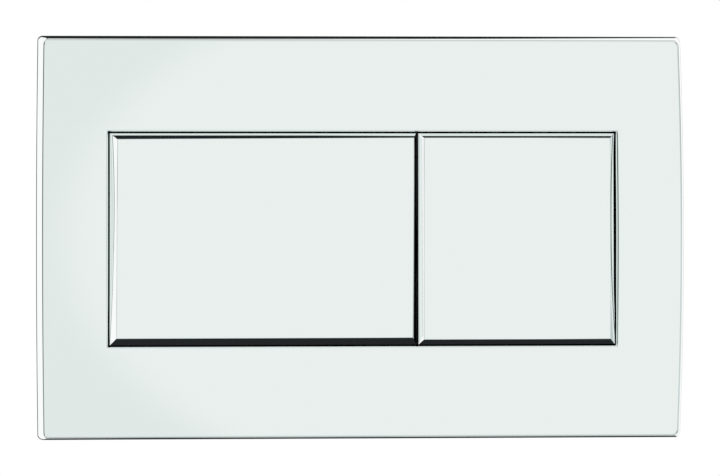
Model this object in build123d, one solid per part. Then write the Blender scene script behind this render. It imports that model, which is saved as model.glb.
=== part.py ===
from build123d import *
import math
import os

# Dual flush button plate for a concealed cistern, in millimetres.
# X runs to the viewer's right, Z up and Y into the wall. The wall is the plane Y = 0.

# Cover plate
plate_width = 250.0
plate_height = 156.2
edge_depth = 8.0
crown = 5.0
plate_wall = 2.5
rim_depth = 8.2
side_draft = 21.0
end_draft = 15.0
rim_bulge = 0.35
plinth_inset = 2.0
plate_corner_radius = 2.0
plate_edge_radius = 0.8
window_width = 194.0
window_height = 81.7
window_edge_radius = 1.1
collar_wall = 1.8
collar_depth = 6.0
rib_wall = 1.6
side_rib_spacing = 40.0
margin_rib_spacing = 42.0

# Buttons
split_x = 20.7
split_gap = 0.9
button_gap = 0.6
rim_sink = 1.3
rim_lean = 0.85
full_bevel_left = 3.1
full_bevel_right = 1.5
full_bevel_upper = 2.1
half_bevel_left = 1.85
half_bevel_right = 1.85
half_bevel_upper = 1.45
button_edge_radius = 0.25
face_backing = 0.8
button_wall = 2.2
skirt_depth = 7.2
lip_reach = 2.4
lip_wall = 1.7
button_rib_wall = 1.6
button_rib_height = 3.5
button_rib_spacing = 34.0
press_angle = 5.0

# Button hinges
hinge_offset = 6.5
hinge_arm_clearance = 0.6
hinge_arm_width = 4.0
hinge_arm_depth = 4.0
hinge_arm_inset = 16.0
hinge_eye_radius = 3.0
hinge_pin_radius = 1.25
hinge_gusset_height = 8.0
lug_wall = 2.5
lug_height = 8.0
lug_gap = 0.4

# Stop tabs and rubber bumpers
tab_width = 12.0
tab_wall = 2.0
tab_reach = 9.5
tab_inset = 22.0
tab_gusset_height = 8.0
bumper_radius = 3.0
bumper_stem_radius = 1.5
bumper_bulb_radius = 2.2
bumper_bulb_length = 1.2
bumper_gap = 0.35

# Push rods
rod_offset_x = 32.0
rod_z = -4.0
rod_radius = 3.0
rod_length = 74.0
rod_tail_radius = 2.5
rod_tail_gap = 1.5
rod_tip_chamfer = 0.8
rod_pad_radius = 4.5
rod_pad_recess = 0.5
rod_cap_radius = 6.0
rod_cap_length = 4.2
rod_cap_dome = 12.0
rod_cap_floor = 2.2
rod_cap_gap = 0.35
locknut_width = 10.0
locknut_height = 3.0
bush_wall = 1.6
bush_flange_radius = 6.5
bush_flange_wall = 1.2
bush_bead = 0.5
bush_bead_width = 1.0
bush_tail = 2.5

# Return springs
spring_inset = 27.0
spring_radius = 3.6
spring_wire = 0.9
spring_turns = 4.0
spring_end_gap = 0.1
spring_seat_radius = 5.0
spring_seat_recess = 1.5
spring_seat_height = 3.0
spigot_radius = 2.6
spigot_length = 2.0

# Mounting frame
frame_side_gap = 8.0
frame_wall = 3.0
frame_corner_radius = 6.0
frame_side_clearance = 3.75
frame_lug_clearance = 4.0
recess_wall = 2.5
recess_corner_radius = 2.0
bar_height = 20.0
bar_wall = 3.0
bar_flange_wall = 2.0
bar_flange_height = 5.0
bar_clearance = 1.2
post_width = 8.0
relief_width = 4.0
relief_length = 36.0

# Fixing studs
stud_inset = 15.75
stud_neck_radius = 3.0
stud_radius = 4.0
stud_length = 72.0
stud_collar_radius = 6.0
stud_collar_height = 3.0
stud_slot_length = 16.0
stud_slot_clearance = 0.4
stud_tip_chamfer = 0.8
grip_nut_radius = 6.5
grip_nut_height = 6.0
grip_notch_radius = 1.0
grip_notch_count = 10
washer_radius = 7.0
washer_height = 1.2

# Retaining clips and the blades they grip
blade_spacing = 160.0
blade_width = 12.0
blade_wall = 2.0
blade_tip_gap = 1.2
clip_sheet = 0.4
clip_lip = 2.0
clip_floor_gap = 0.4
clip_clearance = 1.0
socket_length = 20.0
socket_width = 10.0

# Clearances
running_clearance = 0.05
seat_clearance = 0.05

# Derived places
plate_depth = edge_depth + crown
crown_radius = ((plate_height / 2) ** 2 + crown**2) / (2 * crown)
crown_axis_y = crown_radius - plate_depth
side_run = rim_depth * math.tan(math.radians(side_draft))
end_depth = edge_depth + plate_edge_radius
end_run = end_depth * math.tan(math.radians(end_draft))
collar_rear_y = collar_depth - plate_depth
button_rim_y = rim_sink - plate_depth
button_root_y = button_rim_y + face_backing / 2
button_rear_y = button_rim_y + skirt_depth
button_top_z = window_height / 2 - button_gap
hinge_z = window_height / 2 + hinge_offset
hinge_y = collar_rear_y + hinge_arm_clearance + hinge_arm_depth / 2
hinge_eye_bore = hinge_pin_radius + running_clearance
lug_top_z = hinge_z + lug_height / 2
pin_length = hinge_arm_width + 2 * lug_gap + 2 * lug_wall
tab_rear_y = button_rear_y + tab_wall / 2
tab_front_y = tab_rear_y - tab_wall
tab_end_z = button_top_z + tab_reach
bumper_z = tab_end_z - bumper_radius
rod_bore = rod_radius + running_clearance
rod_lever = hinge_z - rod_z
rod_travel = rod_lever * math.radians(press_angle)
rod_pad_y = button_rear_y - rod_pad_recess
rod_cap_y = rod_pad_y + rod_cap_gap
rod_front_y = rod_cap_y + rod_cap_floor
locknut_y = rod_cap_y + rod_cap_length
locknut_rear_y = locknut_y + locknut_height
bush_front_y = locknut_rear_y + rod_travel + bar_clearance
bar_front_y = bush_front_y + bush_flange_wall
bar_rear_y = bar_front_y + bar_wall
bush_radius = rod_bore + bush_wall
bush_rear_y = bar_rear_y + bush_bead_width + bush_tail
rod_tail_y = bush_rear_y + rod_tail_gap
rod_end_y = rod_front_y + rod_length
spring_front_y = button_rear_y - spring_seat_recess
spring_rear_y = bar_front_y - spring_seat_height
recess_width = window_width + 2 * frame_side_clearance
recess_height = 2 * (lug_top_z + frame_lug_clearance)
frame_width = plate_width - 2 * (plate_wall + frame_side_gap)
frame_height = plate_height - 2 * (plate_wall + frame_side_gap)
bar_low_z = rod_z - bar_height / 2
bar_high_z = rod_z + bar_height / 2
blade_z = (recess_height + frame_height) / 4
clip_half_width = blade_wall / 2 + seat_clearance + clip_sheet
clip_lip_end = clip_half_width + clip_lip
stud_x = recess_width / 2 - stud_inset
stud_front_y = bar_front_y - washer_height - grip_nut_height
stud_rear_y = stud_front_y + stud_length


def plate_back_y(z):
    """Where the back of the plate's crowned wall lies at a given height."""
    return crown_axis_y - math.sqrt((crown_radius - plate_wall) ** 2 - z**2)


clip_front_y = plate_back_y(blade_z + clip_lip_end) + clip_clearance
socket_front_y = clip_front_y + clip_sheet


def block(x_range, y_range, z_range):
    """Box between two limits on each axis."""
    size = [high - low for low, high in (x_range, y_range, z_range)]
    middle = [(high + low) / 2 for low, high in (x_range, y_range, z_range)]
    return Pos(*middle) * Box(*size)


def prism_y(outline, y_from, y_to):
    """An outline in X and Z, drawn out along Y."""
    return extrude(Plane.XZ.offset(-y_to) * outline, y_to - y_from)


def round_y(x, z, radius, y_from, y_to):
    """Round bar along Y."""
    return prism_y(Pos(x, z) * Circle(radius), y_from, y_to)


def round_x(x_from, x_to, y, z, radius):
    """Round bar along X."""
    return extrude(Plane.YZ.offset(x_from) * Pos(y, z) * Circle(radius), x_to - x_from)


def bulged(start, end, side):
    """Shallow arc between two points, bulging to one side by the rim's bulge."""
    middle = (start + end) / 2
    across = (end - start).normalized().rotate(Axis.Z, 90)
    return ThreePointArc(start, middle + across * side * rim_bulge, end)


def drafted_profile(half, run, depth):
    """Symmetrical outline, narrower towards the front, with slightly bulged sides."""
    rear_left, rear_right = Vector(-half, 0), Vector(half, 0)
    front_left, front_right = Vector(run - half, depth), Vector(half - run, depth)
    sides = [bulged(rear_right, front_right, -1), bulged(front_left, rear_left, -1)]
    return make_face(sides + [Line(front_right, front_left), Line(rear_left, rear_right)])


def between_ends(height):
    """All that lies between drafted top and bottom faces, a given distance apart at the wall."""
    upright = Plane((0, 0, 0), x_dir=(0, 0, 1), z_dir=(1, 0, 0))
    half = height / 2
    section = drafted_profile(half, end_run, end_depth)
    front = Rectangle(2 * (half - end_run), plate_depth - end_depth)
    section += Pos(0, (end_depth + plate_depth) / 2) * front
    return extrude(upright * section, plate_width, both=True)


def crowned_rim():
    """Front part of the plate: even in depth all along the crown, narrower towards the front."""
    rear_y = rim_depth - plate_depth
    level = Plane((0, rear_y, 0), x_dir=(-1, 0, 0), z_dir=(0, 0, 1))
    profile = level * drafted_profile(plate_width / 2, side_run, rim_depth)
    axis = Axis((0, crown_axis_y, 0), (1, 0, 0))
    reach = math.degrees(math.asin(plate_height / (crown_radius - rim_depth)))
    rim = revolve(profile, axis, 2 * reach)
    return rim.rotate(axis, -reach) & between_ends(plate_height)


def plinth():
    """Upright part behind the rim, set in from it, that closes the plate down to the wall."""
    x_reach = plate_width / 2 - plinth_inset
    z_reach = plate_height / 2 - plinth_inset
    upright = block((-x_reach, x_reach), (-plate_depth, 0), (-z_reach, z_reach))
    return upright & round_x(-plate_width, plate_width, crown_axis_y, 0, crown_radius - rim_depth / 2)


def plate_cavity(inset):
    """Space behind the plate's front, a given distance inside its outer faces."""
    half = plate_width / 2 - side_run - inset
    wide = block((-half, half), (-plate_depth, 0), (-plate_height, plate_height))
    crown_bar = round_x(-plate_width, plate_width, crown_axis_y, 0, crown_radius - inset)
    return wide & between_ends(plate_height - 2 * inset) & crown_bar


def front_face(solid):
    """The face nearest the viewer."""
    return solid.faces().sort_by(Axis.Y)[0]


def is_corner(edge):
    """Whether an edge of the rim is one of its four short corners."""
    size = edge.bounding_box().size
    return size.Y > edge_depth / 2 and size.Z < plate_height / 2


def plate_skin():
    """Outer shape of the plate with rounded corners and front edges."""
    rim = crowned_rim()
    rim = fillet(rim.edges().filter_by(is_corner), plate_corner_radius)
    rim = fillet(front_face(rim).edges(), plate_edge_radius)
    return rim + plinth()


def hinge_arm_places(x_left, x_right):
    """Middles of a button's two hinge arms."""
    return [x_left + hinge_arm_inset, x_right - hinge_arm_inset]


def tab_places(x_left, x_right):
    """Middles of a button's two stop tabs."""
    return [x_left + tab_inset, x_right - tab_inset]


def hinge_lugs(x):
    """Pair of lugs that hold one hinge pin."""
    lugs = []
    for side in (-1, 1):
        inner = x + side * (hinge_arm_width / 2 + lug_gap)
        outer = inner + side * lug_wall
        x_range = (min(inner, outer), max(inner, outer))
        heel = block(x_range, (-plate_depth, hinge_y), (hinge_z - lug_height / 2, lug_top_z))
        nose = round_x(*x_range, hinge_y, hinge_z, hinge_eye_radius)
        lugs.append(heel + nose)
    return lugs


def margin_ribs():
    """Short stiffening ribs behind the plate's four margins."""
    ribs = []
    collar_x = window_width / 2 + collar_wall / 2
    y_range = (-plate_depth, collar_rear_y)
    for side in (-1, 1):
        x_range = sorted((side * collar_x, side * (plate_width - plate_wall) / 2))
        for z in (-side_rib_spacing / 2, side_rib_spacing / 2):
            ribs.append(block(x_range, y_range, (z - rib_wall / 2, z + rib_wall / 2)))
    for side in (-1, 1):
        z_range = sorted((side * (lug_top_z + rib_wall), side * (plate_height - plate_wall) / 2))
        for x in (-margin_rib_spacing, 0, margin_rib_spacing):
            ribs.append(block((x - rib_wall / 2, x + rib_wall / 2), y_range, z_range))
    return ribs


def blades():
    """Four flat blades that push into the retaining clips."""
    made = []
    for x in (-blade_spacing / 2, blade_spacing / 2):
        for z in (-blade_z, blade_z):
            x_range = (x - blade_width / 2, x + blade_width / 2)
            z_range = (z - blade_wall / 2, z + blade_wall / 2)
            made.append(block(x_range, (-plate_depth, -blade_tip_gap), z_range))
    return made


def cover_plate(arm_places):
    """Chrome-plated moulding with its window, collar, ribs, hinge lugs and blades."""
    skin = plate_skin()
    window = Rectangle(window_width, window_height)
    collar = Rectangle(window_width + 2 * collar_wall, window_height + 2 * collar_wall)
    inside = [prism_y(collar, -plate_depth, collar_rear_y)]
    inside += margin_ribs()
    inside += blades()
    for x in arm_places:
        inside += hinge_lugs(x)
    shell = skin - plate_cavity(plate_wall)
    for feature in inside:
        shell += feature & plate_cavity(plate_wall / 2)
    shell -= prism_y(window, -2 * plate_depth, 0)
    for x in arm_places:
        reach = pin_length / 2
        shell -= round_x(x - reach, x + reach, hinge_y, hinge_z, hinge_pin_radius + seat_clearance)
    rim = front_face(shell).inner_wires()[0]
    return fillet(rim.edges(), window_edge_radius)


def hinge_arm(x):
    """Arm with an eye that reaches up behind the plate to the hinge pin."""
    x_range = (x - hinge_arm_width / 2, x + hinge_arm_width / 2)
    y_range = (hinge_y - hinge_arm_depth / 2, hinge_y + hinge_arm_depth / 2)
    gusset_z = (button_top_z - button_wall - hinge_gusset_height, button_top_z - button_wall / 2)
    gusset = block(x_range, (button_root_y, y_range[1]), gusset_z)
    arm = block(x_range, y_range, (gusset_z[0], hinge_z))
    eye = round_x(*x_range, hinge_y, hinge_z, hinge_eye_radius)
    bore = round_x(*x_range, hinge_y, hinge_z, hinge_eye_bore)
    return gusset + arm + eye, bore


def stop_tab(x):
    """Tab that reaches down behind the window's lower edge, with a hole for its bumper."""
    x_range = (x - tab_width / 2, x + tab_width / 2)
    inner_z = button_top_z - button_wall
    tab = block(x_range, (tab_front_y, tab_rear_y), (-tab_end_z, -inner_z + tab_wall))
    gusset_x = (x - button_rib_wall / 2, x + button_rib_wall / 2)
    gusset_z = (-inner_z - button_wall / 2, -inner_z + tab_gusset_height)
    gusset = block(gusset_x, (button_root_y, tab_rear_y), gusset_z)
    hole = round_y(x, -bumper_z, bumper_stem_radius + seat_clearance, tab_front_y, tab_rear_y)
    return tab + gusset, hole


def button_ribs(x_left, x_right):
    """Ribs that stiffen the back of a button's face."""
    y_range = (button_root_y, button_rim_y + button_rib_height)
    inner_z = button_top_z - button_wall / 2
    middle = (x_left + x_right) / 2
    half_wall = button_rib_wall / 2
    count = math.floor((x_right - x_left) / button_rib_spacing)
    ribs = []
    for step in range(count):
        x = middle + (step - (count - 1) / 2) * button_rib_spacing
        ribs.append(block((x - half_wall, x + half_wall), y_range, (-inner_z, inner_z)))
    x_range = (x_left + button_wall / 2, x_right - button_wall / 2)
    ribs.append(block(x_range, y_range, (rod_z - half_wall, rod_z + half_wall)))
    return ribs


def bevelled_block(x_left, x_right, bevels):
    """Outer shape of a button: bevels at 45 degrees round a leaning rim, cut off by one flat face."""
    left, right, upper = bevels
    middle = (x_left + x_right) / 2
    half = (x_right - x_left) / 2
    rise = left + right + upper
    top_z = button_top_z
    sink = rim_lean / 2
    centre = (middle, button_rim_y + sink, 0)
    lean = sink / top_z
    across = Plane(centre, x_dir=(1, 0, 0), z_dir=(0, -lean, -1))
    upright = Plane(centre, x_dir=(0, 0, 1), z_dir=(1, 0, 0))
    back = skirt_depth - sink
    wide = Polygon((half - rise, rise), (rise - half, rise), (-half, 0), (-half, -2 * back),
                   (half, -2 * back), (half, 0), align=None)
    tall = Polygon((top_z - rise, rise - sink), (rise - top_z, rise + sink), (-top_z, sink), (-top_z, -back),
                   (top_z, -back), (top_z, -sink), align=None)
    wedge = extrude(across * wide, 2 * top_z, both=True) & extrude(upright * tall, half, both=True)
    lean_x = (right - left) / (2 * half - left - right)
    centre_rise = left + lean_x * (half - left)
    lean_z = (upper - centre_rise) / (top_z - upper)
    cut = Plane((middle, centre[1] - centre_rise, 0), z_dir=(-lean_x, -1, lean - lean_z))
    body = split(wedge, bisect_by=cut, keep=Keep.BOTTOM)
    return fillet(front_face(body).edges(), button_edge_radius)


def retaining_lip(x_left, x_right, is_left):
    """Lip behind the window's collar on every side but the one that faces the other button."""
    x_low = x_left - lip_reach if is_left else x_left
    x_high = x_right if is_left else x_right + lip_reach
    z_reach = button_top_z + lip_reach
    return block((x_low, x_high), (button_rear_y - lip_wall, button_rear_y), (-z_reach, z_reach))


def flush_button(x_left, x_right, bevels, rod_x, spring_x, is_left):
    """Flat-faced button, bevelled all round and hollow behind, with its arms, tabs and pads."""
    middle = (x_left + x_right) / 2
    inner_width = x_right - x_left - 2 * button_wall
    hollow = Pos(middle, 0) * Rectangle(inner_width, 2 * (button_top_z - button_wall))
    body = bevelled_block(x_left, x_right, bevels)
    body += retaining_lip(x_left, x_right, is_left)
    body -= prism_y(hollow, button_rim_y + face_backing, button_rear_y)
    for rib in button_ribs(x_left, x_right):
        body += rib
    body += round_y(rod_x, rod_z, rod_pad_radius, button_root_y, rod_pad_y)
    body += round_y(spring_x, rod_z, spring_seat_radius, button_root_y, spring_front_y)
    body += round_y(spring_x, rod_z, spigot_radius, spring_front_y, spring_front_y + spigot_length)
    for x in hinge_arm_places(x_left, x_right):
        arm, bore = hinge_arm(x)
        body = body + arm - bore
    for x in tab_places(x_left, x_right):
        tab, hole = stop_tab(x)
        body = body + tab - hole
    return body


def hinge_pin(x):
    """Plain steel pin across one pair of lugs."""
    return round_x(x - pin_length / 2, x + pin_length / 2, hinge_y, hinge_z, hinge_pin_radius)


def bumper(x):
    """Rubber buffer, pushed through its tab and held by a bulb behind it."""
    head_y = plate_back_y(bumper_z + bumper_radius) + bumper_gap
    head = round_y(x, -bumper_z, bumper_radius, head_y, tab_front_y)
    stem = round_y(x, -bumper_z, bumper_stem_radius, tab_front_y, tab_rear_y)
    bulb = round_y(x, -bumper_z, bumper_bulb_radius, tab_rear_y, tab_rear_y + bumper_bulb_length)
    return head + stem + bulb


def push_rod(x):
    """Rod that slides in its bush, with a slimmer tail that reaches the flush valve."""
    shank = round_y(x, rod_z, rod_radius, rod_front_y, rod_tail_y)
    tail = round_y(x, rod_z, rod_tail_radius, rod_tail_y, rod_end_y)
    return shank + chamfer(tail.faces().sort_by(Axis.Y)[-1].edges(), rod_tip_chamfer)


def rod_cap(x):
    """Domed adjusting cap, screwed on the front of a rod."""
    cap = round_y(x, rod_z, rod_cap_radius, rod_cap_y, locknut_y)
    dome = Pos(x, rod_cap_y + rod_cap_dome, rod_z) * Sphere(rod_cap_dome)
    return (cap & dome) - round_y(x, rod_z, rod_bore, rod_front_y, locknut_y)


def rod_locknut(x):
    """Hexagon nut behind the cap."""
    nut = RegularPolygon(locknut_width / 2, 6, major_radius=False) - Circle(rod_bore)
    return prism_y(Pos(x, rod_z) * nut, locknut_y, locknut_rear_y)


def rod_bush(x):
    """Flanged guide bush, snapped into the bridge bar."""
    flange = round_y(x, rod_z, bush_flange_radius, bush_front_y, bar_front_y)
    barrel = round_y(x, rod_z, bush_radius, bar_front_y, bush_rear_y)
    bead = round_y(x, rod_z, bush_radius + bush_bead, bar_rear_y, bar_rear_y + bush_bead_width)
    return flange + barrel + bead - round_y(x, rod_z, rod_bore, bush_front_y, bush_rear_y)


def return_spring(x):
    """Compression spring between a button's seat and the bridge bar."""
    start_y = spring_front_y + spring_end_gap + spring_wire / 2
    rise = spring_rear_y - spring_front_y - 2 * spring_end_gap - spring_wire
    path = Helix(rise / spring_turns, rise, spring_radius)
    section = Plane(path @ 0, z_dir=path % 0) * RegularPolygon(spring_wire / 2, 6)
    coil = sweep(section, path, is_frenet=True)
    return Pos(x, start_y, rod_z) * Rot(X=-90) * coil


def clip_socket(x, z):
    """Raised socket on the frame that takes one retaining clip, and the slot through it."""
    boss = Pos(x, z) * Rectangle(socket_length, socket_width)
    slot_width = 2 * (clip_half_width + seat_clearance)
    slot = Pos(x, z) * Rectangle(blade_width + 2 * clip_sheet, slot_width)
    return prism_y(boss, socket_front_y, -frame_wall / 2), prism_y(slot, socket_front_y, 0)


def mounting_frame(rod_places, spring_places):
    """Moulding with a flange on the wall, a recess through it and a bridge bar across the recess."""
    flange = RectangleRounded(frame_width, frame_height, frame_corner_radius)
    opening = RectangleRounded(recess_width, recess_height, recess_corner_radius)
    tube_size = (recess_width + 2 * recess_wall, recess_height + 2 * recess_wall)
    tube = RectangleRounded(*tube_size, recess_corner_radius + recess_wall)
    frame = prism_y(flange - opening, -frame_wall, 0)
    frame += prism_y(tube - opening, -frame_wall, bar_rear_y)
    bar_x = (-recess_width / 2 - recess_wall / 2, recess_width / 2 + recess_wall / 2)
    frame += block(bar_x, (bar_front_y, bar_rear_y), (bar_low_z, bar_high_z))
    flange_y = (bar_front_y - bar_flange_height, bar_rear_y)
    frame += block(bar_x, flange_y, (bar_low_z, bar_low_z + bar_flange_wall))
    frame += block(bar_x, flange_y, (bar_high_z - bar_flange_wall, bar_high_z))
    post_x = (split_x - post_width / 2, split_x + post_width / 2)
    post_reach = recess_height / 2 + recess_wall / 2
    frame += block(post_x, flange_y, (-post_reach, post_reach))
    for x in spring_places:
        frame += round_y(x, rod_z, spring_seat_radius, spring_rear_y, bar_front_y)
        frame += round_y(x, rod_z, spigot_radius, spring_rear_y - spigot_length, spring_rear_y)
    for x in rod_places:
        frame -= round_y(x, rod_z, bush_radius + seat_clearance, bar_front_y, bar_rear_y)
    slot_radius = stud_neck_radius + stud_slot_clearance
    for x in (-stud_x, stud_x):
        slot = Pos(x, rod_z) * SlotOverall(stud_slot_length, 2 * slot_radius)
        frame -= prism_y(slot, bar_front_y, bar_rear_y)
        relief_x = math.copysign((frame_width + tube_size[0]) / 4, x)
        relief = Pos(relief_x, 0) * SlotOverall(relief_length, relief_width, rotation=90)
        frame -= prism_y(relief, -frame_wall, 0)
    for x in (-blade_spacing / 2, blade_spacing / 2):
        for z in (-blade_z, blade_z):
            boss, slot = clip_socket(x, z)
            frame = frame + boss - slot
    return frame


def fixing_stud(x):
    """Stud with a neck for the nut, a collar behind the bar and a thread that enters the cistern."""
    neck = round_y(x, rod_z, stud_neck_radius, stud_front_y, bar_rear_y)
    collar_rear = bar_rear_y + stud_collar_height
    collar = round_y(x, rod_z, stud_collar_radius, bar_rear_y, collar_rear)
    thread = round_y(x, rod_z, stud_radius, collar_rear, stud_rear_y)
    return neck + collar + chamfer(thread.faces().sort_by(Axis.Y)[-1].edges(), stud_tip_chamfer)


def fixing_nut(x):
    """Round nut with grip notches, tightened by hand."""
    outline = Circle(grip_nut_radius) - Circle(stud_neck_radius + seat_clearance)
    outline -= PolarLocations(grip_nut_radius, grip_notch_count) * Circle(grip_notch_radius)
    return prism_y(Pos(x, rod_z) * outline, stud_front_y, stud_front_y + grip_nut_height)


def fixing_washer(x):
    """Flat washer between the nut and the bar."""
    ring = Circle(washer_radius) - Circle(stud_neck_radius + stud_slot_clearance)
    return prism_y(Pos(x, rod_z) * ring, bar_front_y - washer_height, bar_front_y)


def retaining_clip(x, z):
    """Folded steel clip: two leaves that grip a blade, a floor, and lips over the socket."""
    floor_y = -clip_floor_gap
    depth = floor_y - clip_front_y
    middle_y = (clip_front_y + floor_y) / 2
    trough = Pos(middle_y, z) * Rectangle(depth, 2 * clip_half_width)
    lips = Pos(clip_front_y + clip_sheet / 2, z) * Rectangle(clip_sheet, 2 * clip_lip_end)
    mouth = Pos(middle_y - clip_sheet, z) * Rectangle(depth, 2 * (clip_half_width - clip_sheet))
    return extrude(Plane.YZ.offset(x - blade_width / 2) * (trough + lips - mouth), blade_width)


def save(name, solid):
    """Write one piece."""
    export_step(solid, f"parts/{name}.step")


os.makedirs("parts", exist_ok=True)
window_half = window_width / 2
full_limits = (-window_half + button_gap, split_x - split_gap / 2)
half_limits = (split_x + split_gap / 2, window_half - button_gap)
full_bevels = (full_bevel_left, full_bevel_right, full_bevel_upper)
half_bevels = (half_bevel_left, half_bevel_right, half_bevel_upper)
full_arms = hinge_arm_places(*full_limits)
half_arms = hinge_arm_places(*half_limits)
rods = {"full": -rod_offset_x, "half": rod_offset_x}
springs = {"full": full_limits[0] + spring_inset, "half": half_limits[1] - spring_inset}

save("cover_plate", cover_plate(full_arms + half_arms))
save("full_flush_button", flush_button(*full_limits, full_bevels, rods["full"], springs["full"], True))
save("half_flush_button", flush_button(*half_limits, half_bevels, rods["half"], springs["half"], False))
save("mounting_frame", mounting_frame(rods.values(), springs.values()))
for name, limits in (("full", full_limits), ("half", half_limits)):
    for side, x in zip(("left", "right"), hinge_arm_places(*limits)):
        save(f"{name}_hinge_pin_{side}", hinge_pin(x))
    for side, x in zip(("left", "right"), tab_places(*limits)):
        save(f"{name}_bumper_{side}", bumper(x))
    save(f"{name}_return_spring", return_spring(springs[name]))
    save(f"{name}_push_rod", push_rod(rods[name]))
    save(f"{name}_rod_cap", rod_cap(rods[name]))
    save(f"{name}_rod_locknut", rod_locknut(rods[name]))
    save(f"{name}_rod_bush", rod_bush(rods[name]))
for side, x in (("left", -stud_x), ("right", stud_x)):
    save(f"fixing_stud_{side}", fixing_stud(x))
    save(f"fixing_nut_{side}", fixing_nut(x))
    save(f"fixing_washer_{side}", fixing_washer(x))
for level, z in (("upper", blade_z), ("lower", -blade_z)):
    for side, x in (("left", -blade_spacing / 2), ("right", blade_spacing / 2)):
        save(f"retaining_clip_{level}_{side}", retaining_clip(x, z))
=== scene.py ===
import math

import bmesh
import bpy
from bpy.props import FloatProperty, FloatVectorProperty, IntProperty, PointerProperty
from bpy.types import NodeSocket, Operator, Panel, PropertyGroup
from mathutils import Matrix, Vector


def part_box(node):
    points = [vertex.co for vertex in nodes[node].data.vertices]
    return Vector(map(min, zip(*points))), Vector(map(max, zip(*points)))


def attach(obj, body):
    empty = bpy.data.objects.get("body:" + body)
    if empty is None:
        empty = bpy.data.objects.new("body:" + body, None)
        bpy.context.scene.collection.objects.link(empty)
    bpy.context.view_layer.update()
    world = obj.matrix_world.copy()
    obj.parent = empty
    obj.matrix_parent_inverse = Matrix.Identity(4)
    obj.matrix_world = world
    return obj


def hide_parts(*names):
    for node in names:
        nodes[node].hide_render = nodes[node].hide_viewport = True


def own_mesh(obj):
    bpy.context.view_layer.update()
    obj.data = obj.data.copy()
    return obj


bl_info = {
    "name": "Dual flush plate",
    "version": (1, 0, 0),
    "blender": (4, 5, 0),
    "location": "3D View > Sidebar > Flush plate",
    "description": "Plating, button faces, springs, threads and finishes of a flush plate with two buttons",
    "category": "Object",
}

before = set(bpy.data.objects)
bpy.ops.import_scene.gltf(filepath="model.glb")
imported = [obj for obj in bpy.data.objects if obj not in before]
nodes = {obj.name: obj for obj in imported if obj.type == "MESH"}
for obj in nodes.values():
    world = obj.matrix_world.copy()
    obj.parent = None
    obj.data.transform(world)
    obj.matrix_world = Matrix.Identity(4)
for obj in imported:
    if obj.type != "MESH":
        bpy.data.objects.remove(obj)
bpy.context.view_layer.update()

MM = 0.001
BUTTONS = ("full", "half")
SIDES = ("left", "right")
# Points nearer than this become one point.
WELD = 0.0005 * MM
# Edges that turn by more than this stay sharp.
SHARP_ANGLE = math.radians(35)
# Opposite corners, in millimetres, of the box round the inside of the cover, which is drawn as near-black
# unplated plastic: painted shade.
COVER_HOLLOW = ((-120.4, -12, -75.8), (120.4, 1, 75.8))
# Patches of the light tent in the order they are laid, each about a direction from the plate, full within
# its inner angle and gone beyond its outer angle, in degrees. A spread below 1 draws a patch out along X,
# and one above 1 narrows it.
TENT_PATCHES = (
    dict(name="right side", toward=(1.0, 0.2, -0.2), inner=25, outer=45, shade="#D4DCDD"),
    dict(name="right flag", toward=(0.98, 0.2, 0.1), inner=6, outer=10, shade="#15181A"),
    dict(name="behind", toward=(-0.03, 1.0, 0.0), inner=33, outer=38, spread=1.5, shade="#1E2627"),
    dict(name="behind and below", toward=(0.14, 0.88, -0.45), inner=12, outer=18, shade="#343C3D"),
    dict(name="overhead", toward=(0.0, 0.05, 1.0), inner=11, outer=14, spread=0.3, shade="#202425"),
    dict(name="underneath", toward=(0.0, -0.03, -1.0), inner=13, outer=17, spread=0.4, shade="#242728"),
    dict(name="ring beside the camera", toward=(0.0, -1.0, 0.0), inner=68, outer=76, shade="#7A8586"),
    dict(name="ring at the left", toward=(-0.82, -0.57, 0.0), inner=14, outer=19, shade="#465253"),
    dict(name="ring at the right", toward=(0.8, -0.6, 0.0), inner=22, outer=30, shade="#C4CDCD"),
    dict(name="ring below the camera", toward=(0.0, -0.62, -0.78), inner=26, outer=36, shade="#D4DCDC"),
    dict(name="ring above the camera", toward=(0.0, -0.6, 0.8), inner=27, outer=36, shade="#E4EAE9"),
    dict(name="front", toward=(0.0, -1.0, -0.05), inner=29, outer=33, shade="#E7ECEB"),
    dict(name="front right", toward=(0.43, -1.0, -0.05), inner=29, outer=33, spread=1.5, shade="#EFF3F2"),
)
# Soft lamps for the parts that aren't mirrors, with places and sizes in metres and power in watts.
LAMPS = (
    dict(name="key", place=(-0.9, -1.1, 1.1), size=0.9, power=14.0),
    dict(name="fill", place=(1.2, -0.8, 0.5), size=0.9, power=7.0),
    dict(name="rear_left", place=(-0.8, 1.2, 0.9), size=0.9, power=12.0),
    dict(name="rear_right", place=(0.9, 1.1, 0.4), size=0.9, power=9.0),
    dict(name="under", place=(0.0, 0.5, -0.25), size=0.5, power=2.0),
)


def linear(hex_colour):
    """Linear colour with alpha from an sRGB hex value."""
    channels = [int(hex_colour[place:place + 2], 16) / 255 for place in (1, 3, 5)]
    return [c / 12.92 if c <= 0.04045 else ((c + 0.055) / 1.055) ** 2.4 for c in channels] + [1.0]


def add_node(tree, kind, inputs=None, **settings):
    """Add one node, set its properties, and fill its inputs with values or links."""
    node = tree.nodes.new(kind)
    for name, value in settings.items():
        setattr(node, name, value)
    for key, value in (inputs or {}).items():
        if isinstance(value, NodeSocket):
            tree.links.new(value, node.inputs[key])
        else:
            node.inputs[key].default_value = value
    return node


def length(name, description, default_mm, smallest_mm=0.0):
    """A length that the user can change, given in millimetres."""
    return FloatProperty(
        name=name, description=description, default=default_mm * MM, min=smallest_mm * MM,
        unit="LENGTH", subtype="DISTANCE", precision=5,
    )


def angle(name, description, default_degrees):
    """An angle that the user can change, given in degrees."""
    return FloatProperty(
        name=name, description=description, default=math.radians(default_degrees),
        unit="ROTATION", subtype="ANGLE",
    )


def colour(name, description, hex_colour):
    """A colour that the user can change."""
    return FloatVectorProperty(
        name=name, description=description, default=linear(hex_colour), size=4, min=0, max=1, subtype="COLOR",
    )


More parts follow.
